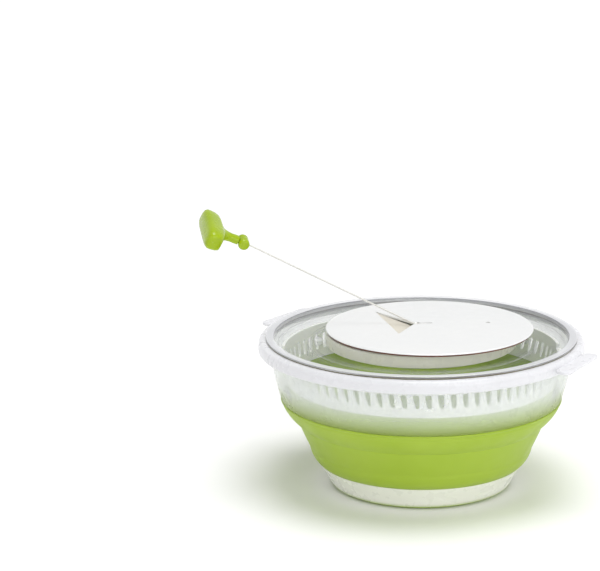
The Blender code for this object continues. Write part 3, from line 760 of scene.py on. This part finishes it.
def bowl_base():
    outer = flowing([(74, 1.6), (76.5, 5.5), (79, 10.5), (85, BASE_TOP)])
    inner = flowing([(82.6, BASE_TOP), (76.8, 10.8), (74, 6), (72.4, 3.8)])
    boss = [(9, 3.8), (7.4, 8.4), (2.8, 8.4), (2.8, 4.6), (0, 4.6)]
    return turned("fine_bowl_base", [(0, 1.6)] + outer + inner + boss, soft=0.5)


def folding_wall(name, lines, thickness, soft):
    """A silicone wall from outer lines that meet at creases, with an even thickness."""
    outer = [point for line in lines for point in flowing(line)]
    inner = [(radius - thickness, height + 0.3) for radius, height in outer]
    inner[0] = (inner[0][0], outer[0][1])
    inner[-1] = (inner[-1][0], outer[-1][1])
    return turned(name, outer + inner[::-1], soft=soft, sharp=60.0)


def bowl_band():
    """The bowl's folding wall: three bulges with creases between, a ridge and a bead."""
    low = [(84.6, BASE_TOP), (87.8, 23.2), (90.2, 27), (91.6, 30.6), (92.0, 32.4)]
    middle = [(92.2, 33.6), (95.2, 40), (98.4, 47), (100.9, 53.0)]
    high = [(101.5, 54.6), (105.4, 58), (109.6, 62.4), (112.8, 67), (113.6, 68.6)]
    ridge = [(113.9, 68.9), (114.5, 70.6), (114.7, 71.8)]
    bead = [(115.3, 72.2), (115.8, 73.0), (115.7, BAND_TOP)]
    return folding_wall("fine_bowl_band", [low, middle, high, ridge, bead], 2.4, 0.4)


def bowl_rim():
    outer = [(115.4, BAND_TOP), (119, 86.5), (121.6, 98), (124, 114), (124.5, RIM_TOP)]
    inner = [(122.5, RIM_TOP), (122, 114), (119.6, 98), (117, 86.8), (113.4, BAND_TOP)]
    return turned("fine_bowl_rim", flowing(outer) + flowing(inner), soft=0.3)


def bowl_flange():
    """The rolled flange with its drip skirt and two thumb tabs."""
    outline = [(122.6, RIM_TOP), (131.4, RIM_TOP), (131.7, 114), (133.4, 114), (133.8, 115)]
    outline += [(133.8, 120.5), (132.6, 123), (130.5, FLANGE_TOP), (127.2, FLANGE_TOP)]
    outline += [(124.6, 123)]
    item = turned("fine_bowl_flange", outline, soft=0.9)
    for angle in TAB_ANGLES:
        plan = rounded_plan(TAB_LENGTH, TAB_WIDTH, 6.0, on_circle(TAB_AT, angle), angle)
        tab = bevelled(prism("tab", plan, TAB_LOW, TAB_HIGH), 0.8, segments=3)
        combined(item, tab, "UNION")
    return item


# ---------------------------------------------------------------- basket


def drain_slot(u, v):
    """A basket slot: wide at its top, with a narrow tip that leans to one side."""
    x, y = 2 * u - 1, 2 * v - 1
    spread = (abs(x) ** 5 + abs(y) ** 5) ** 0.2
    x, y = x / spread, y / spread
    rise = (y + 1) / 2
    left = 0.50 - 0.27 * rise**0.8
    right = 0.82 - 0.03 * rise
    return (left + (right - left) * (x + 1) / 2, 0.06 + 0.88 * rise)


def floor_slot(u, v):
    """A radial slot in the basket's floor, with round ends."""
    x, y = 2 * u - 1, 2 * v - 1
    spread = (abs(x) ** 4 + abs(y) ** 4) ** 0.25
    return (0.5 + 0.24 * x / spread, 0.5 + 0.44 * y / spread)


def basket_ring():
    """The basket's upper ring, slotted all round, with a notch for each drive arm."""
    wall = 2.4
    outer = [(110.2, BASKET_BAND_TOP), (111.6, 95), (113.4, 107), (114.2, NOTCH_LOW)]
    outer.append((114.8, BASKET_TOP))
    inner = [(radius - wall, height) for radius, height in outer]
    columns = 6
    half_notch = 4
    total = SLOT_COUNT * columns
    notched = set()
    for arm in range(ARM_COUNT):
        middle = columns // 2 + arm * total // ARM_COUNT
        notched |= {step % total for step in range(middle - half_notch, middle + half_notch)}

    def surface(side, way):
        return along_line((outer, inner)[side], way)

    zones = [(BASKET_BAND_TOP, SLOT_LOW, None), (SLOT_LOW, SLOT_HIGH, drain_slot)]
    zones += [(SLOT_HIGH, NOTCH_LOW, None), (NOTCH_LOW, BASKET_TOP, None)]
    return perforated("fine_basket_ring", surface, SLOT_COUNT, zones, columns, notched)


def basket_base():
    """The basket's floor with two rings of drain slots round its raised hub."""
    low, top = 9.0, 10.8
    hub_top = 19.9
    wall_steps = 8
    slots_round = 16

    def surface(side, way):
        """The way runs up the hub's cone, out along the floor, then up the low wall."""
        if way <= HUB_R:
            share = way / HUB_R
            outer = (5.9 + share * 3.0, low)
            inner = (8.0 + 2.4 * share, hub_top - (hub_top - top) * share**0.8)
            return (outer, inner)[side]
        if way <= FLOOR_R:
            return (way, (low, top)[side])
        share = min((way - FLOOR_R) / wall_steps, 1.0)
        outer = (FLOOR_R + 10.0 * share**0.8, low + (BASKET_BASE_TOP - low) * share**1.6)
        inner = (FLOOR_R + 7.6 * share**0.8, top + (BASKET_BASE_TOP - top) * share**1.6)
        return (outer, inner)[side]

    zones = [(0.0, 3.0, None), (3.0, 6.0, None), (6.0, HUB_R, None), (HUB_R, 18.0, None)]
    zones += [(18.0, 42.0, floor_slot), (42.0, 63.0, floor_slot), (63.0, FLOOR_R, None)]
    zones += [(FLOOR_R + step, FLOOR_R + 1 + step, None) for step in range(wall_steps)]
    item = perforated("fine_basket_base", surface, slots_round, zones, 12)
    hub = turned("hub", [(0, 17.9), (6.2, 17.9), (6.2, hub_top), (0, hub_top)], soft=0.2)
    shoulder = [(5.9, 9.05), (8.6, 9.05), (10.0, 11.4), (8.3, hub_top), (6.0, hub_top)]
    shoulder.append((5.9, 19.0))
    combined(item, turned("shoulder", shoulder, soft=0.2), "UNION")
    return combined(item, hub, "UNION")


def basket_band():
    low = [(75.8, BASKET_BASE_TOP), (79.8, 26.0), (83.5, 33)]
    middle = [(84.2, 34.4), (89.0, 45.6), (93.2, 55.2)]
    high = [(94.2, 56.6), (100.4, 62.8), (105.4, 70), (108.4, 78), (110.0, BASKET_BAND_TOP)]
    return folding_wall("fine_basket_band", [low, middle, high], 2.0, 0.4)


# ---------------------------------------------------------------- lid and drum


def lid_shell():
    """The clear lid: a raised rim, a well, a stiffening ridge and four small catches."""
    shell = [(127.8, 124.7), (127.8, 125.9), (127.2, 126.4), (121.6, 126.4), (120.6, 125.8)]
    shell += [(117.6, LID_FLOOR), (93.6, LID_FLOOR), (92.6, RIDGE_TOP), (90.2, RIDGE_TOP)]
    shell += [(89.2, LID_FLOOR), (73.8, LID_FLOOR), (73.8, LID_UNDER), (119.4, LID_UNDER)]
    shell += [(121.4, 123.2), (123, 124.7)]
    item = turned("fine_lid_shell", shell, soft=0.45)
    for angle in CATCH_ANGLES:
        plan = rounded_plan(4.0, 6.0, 1.0, on_circle(CATCH_AT, angle), angle)
        catch = bevelled(prism("catch", plan, LID_UNDER + 1, CATCH_TOP), 0.4)
        combined(item, catch, "UNION")
    return item


def lid_gasket():
    outline = [(127.4, 124.2), (127.4, 124.65), (123.1, 124.65), (122, 123.4), (121.9, 122.6)]
    outline += [(122.9, 121.9), (124.5, 123.3), (127.1, 124.2)]
    return turned("fine_lid_gasket", outline, soft=0.2)


def drum_base():
    """The mechanism cup with its central well, flange and four screw holes."""
    lip = DRUM_SEAT + CUP_WALL
    brim = LID_UNDER + CUP_WALL
    cup = [(75.4, DRUM_SEAT), (75.4, lip), (71.6, lip), (71.6, brim), (54.0, brim)]
    cup += [(54.0, 114.0), (25.0, 114.0), (25.0, 105.6), (7.0, 105.6), (7.0, 104.0)]
    cup += [(26.6, 104.0), (26.6, 112.4), (55.6, 112.4), (55.6, LID_UNDER), (73.2, LID_UNDER)]
    cup += [(73.2, DRUM_SEAT)]
    item = turned("fine_drum_base", cup, soft=0.4)
    for angle in SCREW_ANGLES:
        spot = circle(1.9, on_circle(SCREW_CIRCLE_R, angle), 32)
        combined(item, prism("hole", spot, LID_UNDER - 1, brim + 1), "DIFFERENCE")
    return item


def drum_housing():
    """The cream drum under the cap, with four posts and the cord's hole in its deck."""
    housing = [(78.0, DRUM_SEAT), (78.0, 128.2), (77.3, DECK_TOP), (3.4, DECK_TOP)]
    housing += [(3.4, DECK_LOW), (76.2, DECK_LOW), (76.2, DRUM_SEAT)]
    item = turned("fine_drum_housing", housing, soft=0.4)
    for angle in SCREW_ANGLES:
        spot = on_circle(SCREW_CIRCLE_R, angle)
        combined(item, prism("post", circle(3.4, spot), DRUM_SEAT + 0.1, 127.8), "UNION")
        combined(item, prism("hole", circle(1.7, spot, 32), DRUM_SEAT - 1, 126.4), "DIFFERENCE")
    mouth = prism("hole", circle(2.9, (47.0, 11.0)), 126.0, 130.0)
    return combined(item, mouth, "DIFFERENCE")


def cap_point(x, y):
    """The place in plan that lies at x, y from the cap's own centre."""
    return (CAP_X + x, y)


def top_cap():
    """The glossy off-centre cap, with the fan recess, the cord's well and groove, and a hole."""
    cap = [(CAP_R, CAP_EDGE_LOW), (CAP_R, CAP_TOP - 0.7), (84.4, CAP_TOP), (0, CAP_TOP)]
    cap += [(0, CAP_LOW), (82.2, CAP_LOW), (82.2, CAP_EDGE_LOW)]
    item = turned("fine_top_cap", cap, centre=(CAP_X, 0.0), soft=0.35)
    well = cap_point(*CORD_WELL)
    fan = [cap_point(-43, 50), well, cap_point(-26, -22)]
    groove = rounded_plan(14.0, 2.6, 1.2, (EYELET.x + 7.0, EYELET.y))
    cuts = [fan, circle(3.9, well), groove, circle(1.8, cap_point(*PLUG_AT), 32)]
    for number, plan in enumerate(cuts):
        cutter = prism("cut_{}".format(number), plan, CAP_LOW - 1, CAP_TOP + 1)
        combined(item, cutter, "DIFFERENCE")
    return bevelled(item, 0.16, angle=60.0, sharp=20.0)


def cap_seal_ring():
    low, high = CAP_EDGE_LOW - 1.3, CAP_EDGE_LOW - 0.1
    outline = [(82.4, low), (84.2, low), (84.4, high), (82.4, high)]
    return turned("fine_cap_seal_ring", outline, centre=(CAP_X, 0.0), soft=0.2)


def cap_plug():
    """The small grey plug in the cap, with a dimple in its head."""
    high = CAP_TOP - 0.2
    outline = [(0, DECK_TOP), (1.5, DECK_TOP), (1.5, high), (0.7, high), (0.5, high - 0.3)]
    outline.append((0, high - 0.3))
    return turned("fine_cap_plug", outline, 32, cap_point(*PLUG_AT), soft=0.12)


# ---------------------------------------------------------------- mechanism


def screw(number, angle):
    """A pan-head screw with a cross recess, its head down."""
    spot = on_circle(SCREW_CIRCLE_R, angle)
    low, seat = LID_UNDER - 1.4, LID_UNDER - 0.05
    outline = [(0, low), (2.4, low), (2.9, low + 0.6), (2.9, seat), (1.4, seat)]
    outline += [(1.4, 125.6), (0, 125.6)]
    item = turned("fine_drum_screw_{}".format(number), outline, 32, spot, soft=0.25)
    for turn in (angle, angle + 90):
        slot = prism("slot", rounded_plan(3.2, 0.6, 0.2, spot, turn, 3), low - 1, low + 0.7)
        combined(item, slot, "DIFFERENCE")
    return item


def cord_frame(distance):
    """A frame at a distance from the eyelet: X along the cord, Y along the rolled grip."""
    along = Vector((-math.cos(CORD_ANGLE), 0.0, math.sin(CORD_ANGLE)))
    up = Vector((math.sin(CORD_ANGLE), 0.0, math.cos(CORD_ANGLE)))
    near = Vector((0.0, -1.0, 0.0)) * math.cos(GRIP_ROLL) - up * math.sin(GRIP_ROLL)
    third = along.cross(near)
    made = Matrix((along, near, third)).transposed().to_4x4()
    made.translation = EYELET + along * distance
    return made


def grip_frame(distance):
    """The toggle's frame, turned by GRIP_YAW and then moved along by a distance."""
    turn = Matrix.Rotation(GRIP_YAW, 4, "Z")
    return cord_frame(TOGGLE_AT) @ turn @ Matrix.Translation((distance, 0.0, 0.0))


def cord_route():
    """The free cord's middle line, from the eyelet to the toggle, in metres."""
    count = round(CORD_LENGTH / CORD_STEP)
    place = cord_frame(0.0)
    steps = [CORD_LENGTH * step / count for step in range(count + 1)]
    return [tuple((place @ Vector((step, 0, 0))) * MM) for step in steps]


def cord_tube():
    """The braided cord as a tube, with the way round and along it kept for the braid."""
    place = cord_frame(0.0)
    rings = round(CORD_LENGTH / CORD_STEP) * 2
    points = []
    for ring in range(rings + 1):
        far = CORD_LENGTH * ring / rings
        for side in range(CORD_SIDES):
            turn = 2 * math.pi * side / CORD_SIDES
            offset = Vector((far, CORD_R * math.cos(turn), CORD_R * math.sin(turn)))
            points.append(tuple((place @ offset) * MM))
    mesh = bpy.data.meshes.new("fine_pull_cord")
    mesh.from_pydata(points, [], lofted(len(points), CORD_SIDES))
    layer = mesh.uv_layers.new(name="braid")
    for face in mesh.polygons:
        wraps = len(face.vertices) == 4 and face.vertices[1] % CORD_SIDES == 0
        for corner, vertex in zip(face.loop_indices, face.vertices):
            side = vertex % CORD_SIDES
            if wraps and side == 0:
                side = CORD_SIDES
            far = (vertex // CORD_SIDES) * CORD_LENGTH / rings
            layer.data[corner].uv = (side / CORD_SIDES, far / (2 * math.pi * CORD_R))
    item = bpy.data.objects.new("fine_pull_cord", mesh)
    bpy.context.scene.collection.objects.link(item)
    return tidied(item)


def pull_cord(finish):
    """The free cord, laid as a braided tube straight out from its eyelet."""
    item = stands_for(cord_tube(), "pull_cord", finish)
    along = cord_frame(0.0).to_3x3() @ Vector((1, 0, 0))
    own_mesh(item)
    cord_route()


def cord_eyelet():
    place = cord_frame(0.0) @ Matrix.Rotation(math.radians(90), 4, "Y")
    bead = flowing([(1.1, -1.6), (1.7, -1.1), (2.0, 0.0), (1.7, 1.1), (1.1, 1.6)])
    return turned("fine_cord_eyelet", bead, 40, place=place, soft=0.0)


def cord_swivel():
    low = foot_of("cord_swivel")
    ring = [(2.4, low), (3.3, low), (3.3, low + 0.9), (2.4, low + 0.9)]
    return turned("fine_cord_swivel", ring, 48, (EYELET.x, EYELET.y), soft=0.25)


def cord_toggle():
    """The barrel on the cord's end, with domed ends and a shallow waist."""
    place = grip_frame(0.0) @ Matrix.Rotation(math.radians(-90), 4, "X")
    half = TOGGLE_LENGTH / 2
    line = [(0, -half), (3.0, -half), (4.3, 0.9 - half), (TOGGLE_R, 2.4 - half), (4.7, -1.5)]
    line += [(4.7, 1.5), (TOGGLE_R, half - 2.4), (4.3, half - 0.9), (3.0, half), (0, half)]
    return turned("fine_cord_toggle", line, 64, place=place, soft=1.0)


def pull_handle():
    """The T grip: a slim neck that swells into a long rounded bar. A station is (distance along,
    half width, half depth, squareness)."""
    stations = [(-22.9, 4.4, 3.5, 2.4), (-20.0, 4.4, 3.5, 2.4), (-16.9, 4.2, 3.4, 2.4)]
    stations += [(-13.0, 4.6, 3.7, 2.4), (-9.6, 6.2, 4.5, 2.6), (-7.7, 9.6, 5.6, 3.0)]
    stations += [(-6.7, 15.0, 6.6, 3.6), (-5.9, 21.0, 7.3, 4.2), (-4.6, 24.2, 7.8, 4.6)]
    stations += [(-2.0, 25.4, 8.3, 4.8), (2.0, 26.0, 8.6, 4.8), (4.6, 25.9, 8.5, 4.8)]
    stations += [(6.4, 24.8, 7.6, 4.4), (7.6, 22.4, 6.0, 4.0), (8.0, 18.0, 3.6, 3.6)]
    place = grip_frame(GRIP_FROM_TOGGLE)
    points = []
    for along, wide, deep, square in stations:
        for side in range(GRIP_SIDES):
            turn = 2 * math.pi * side / GRIP_SIDES
            x, y = math.cos(turn), math.sin(turn)
            spread = (abs(x) ** square + abs(y) ** square) ** (1 / square)
            points.append(place @ Vector((along, wide * x / spread, deep * y / spread)))
    faces = lofted(len(points), GRIP_SIDES)
    return solid("fine_pull_handle", points, faces, sharp=50.0)


# ---------------------------------------------------------------- floor, light and camera


def set_floor():
    """A wide pale floor just under the foot."""
    mesh = bpy.data.meshes.new("floor")
    wide = 30.0
    low = -0.0002
    corners = [(-wide, -wide, low), (wide, -wide, low), (wide, wide, low), (-wide, wide, low)]
    mesh.from_pydata(corners, [], [(0, 1, 2, 3)])
    item = bpy.data.objects.new("floor", mesh)
    bpy.context.scene.collection.objects.link(item)
    paint = principled("floor_paint", (0.97, 0.97, 0.97), 0.6)
    uneven(paint, 3.0, 0.55, 0.65)
    mesh.materials.append(paint)


def add_sun(name, toward, spread, strength):
    """A soft lamp far away in a direction, so that it lights the whole floor evenly."""
    light = bpy.data.lights.new(name, "SUN")
    light.angle = math.radians(spread)
    light.energy = strength
    item = bpy.data.objects.new(name, light)
    item.rotation_euler = Vector(toward).to_track_quat("Z", "Y").to_euler()
    bpy.context.scene.collection.objects.link(item)


def set_light():
    """A pale backdrop, brighter at the horizon than overhead, a key from above and a soft fill."""
    world = bpy.data.worlds.new("studio")
    world.use_nodes = True
    backdrop = world.node_tree.nodes["Background"]
    backdrop.inputs["Color"].default_value = (1.0, 1.0, 1.0, 1.0)
    toward = world.node_tree.nodes.new("ShaderNodeTexCoord")
    split = world.node_tree.nodes.new("ShaderNodeSeparateXYZ")
    world.node_tree.links.new(toward.outputs["Generated"], split.inputs["Vector"])
    glow = ranged(world, split.outputs["Z"], 0.85, 0.30, 0.0, 1.0)
    world.node_tree.links.new(glow, backdrop.inputs["Strength"])
    bpy.context.scene.world = world
    bpy.context.scene.view_settings.view_transform = "Standard"
    add_sun("key", (0.12, 0.0, 1.0), 36.0, 1.90)
    add_sun("fill", (0.40, -1.0, 0.30), 60.0, 1.00)


def set_camera():
    camera = bpy.data.cameras.new("camera")
    camera.sensor_width = SENSOR_WIDTH
    camera.lens = LENS_PER_METRE * VIEW_DISTANCE
    camera.clip_start = 0.05
    camera.clip_end = 100.0
    item = bpy.data.objects.new("camera", camera)
    back = Vector((0.0, -math.cos(VIEW_ELEVATION), math.sin(VIEW_ELEVATION)))
    item.location = VIEW_AIM + back * VIEW_DISTANCE
    turn = (-back).to_track_quat("-Z", "Y").to_matrix().to_4x4()
    item.rotation_euler = (turn @ Matrix.Rotation(VIEW_ROLL, 4, "Z")).to_euler()
    bpy.context.scene.collection.objects.link(item)
    bpy.context.scene.camera = item


# ---------------------------------------------------------------- the whole


def dress_bowl(green):
    stands_for(foot_pad(), "foot_pad", green)
    stands_for(bowl_base(), "bowl_base", base_translucent())
    band = stands_for(bowl_band(), "bowl_band", green)
    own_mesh(band)
    stands_for(bowl_rim(), "bowl_rim", bowl_translucent())
    stands_for(bowl_flange(), "bowl_flange", flange_translucent())


def dress_basket(green, white):
    stands_for(basket_base(), "basket_base", white)
    band = stands_for(basket_band(), "basket_band", green)
    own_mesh(band)
    stands_for(basket_ring(), "basket_ring", white)


def dress_lid(clear, cream):
    stands_for(lid_shell(), "lid_shell", clear)
    stands_for(lid_gasket(), "lid_gasket", gasket_olive())
    stands_for(drum_base(), "drum_base", cream)
    stands_for(drum_housing(), "drum_housing", cream)
    stands_for(top_cap(), "top_cap", cap_white())
    # The seal ring's dark brown is also painted shade for the gap under the cap.
    stands_for(cap_seal_ring(), "cap_seal_ring", seal_brown())
    stands_for(cap_plug(), "cap_plug", plug_grey())
    # The cord ramp's darker beige is painted shade of its recess.
    stands_for(refined("cord_ramp", 0.25), "cord_ramp", ramp_beige())
    clip = clip_clear()
    for node in ("lid_clip_left", "lid_clip_right"):
        stands_for(refined(node, 0.5), node, clip)


def dress_mechanism(clear, white):
    bright = steel("steel", (0.62, 0.63, 0.64), 0.28)
    blued = steel("spring_steel", (0.30, 0.32, 0.35), 0.35)
    for number, angle in enumerate(SCREW_ANGLES, 1):
        stands_for(screw(number, angle), "drum_screw_{}".format(number), bright)
    stands_for(refined("drive_plate", 0.4), "drive_plate", clear)
    for node in ("clutch_cup", "pawl_1", "pawl_2", "pawl_3", "roller_bracket"):
        stands_for(refined(node, 0.2), node, white)
    dressed(white, "pivot_bearing", "cord_spool", "guide_roller", "cord_grommet")
    dressed(white, "shaft_spacer", "spring_cover")
    dressed(bright, "pivot_pin", "centre_shaft", "shaft_clip", "roller_pin")
    dressed(bright, "pawl_pin_1", "pawl_pin_2", "pawl_pin_3")
    dressed(blued, "recoil_spring")


def dress_cord(white):
    braid = cord_white()
    pull_cord(braid)
    dressed(braid, "cord_lead", "cord_winding")
    stands_for(cord_eyelet(), "cord_eyelet", white)
    stands_for(cord_swivel(), "cord_swivel", white)
    green = handle_green()
    stands_for(cord_toggle(), "cord_toggle", green)
    stands_for(pull_handle(), "pull_handle", green)


def main():
    set_camera()
    set_floor()
    set_light()
    green = silicone_green()
    clear = lid_clear()
    white = acetal_white()
    dress_cord(white)
    dress_bowl(green)
    dress_basket(green, basket_white())
    dress_lid(clear, drum_cream())
    dress_mechanism(clear, white)


main()
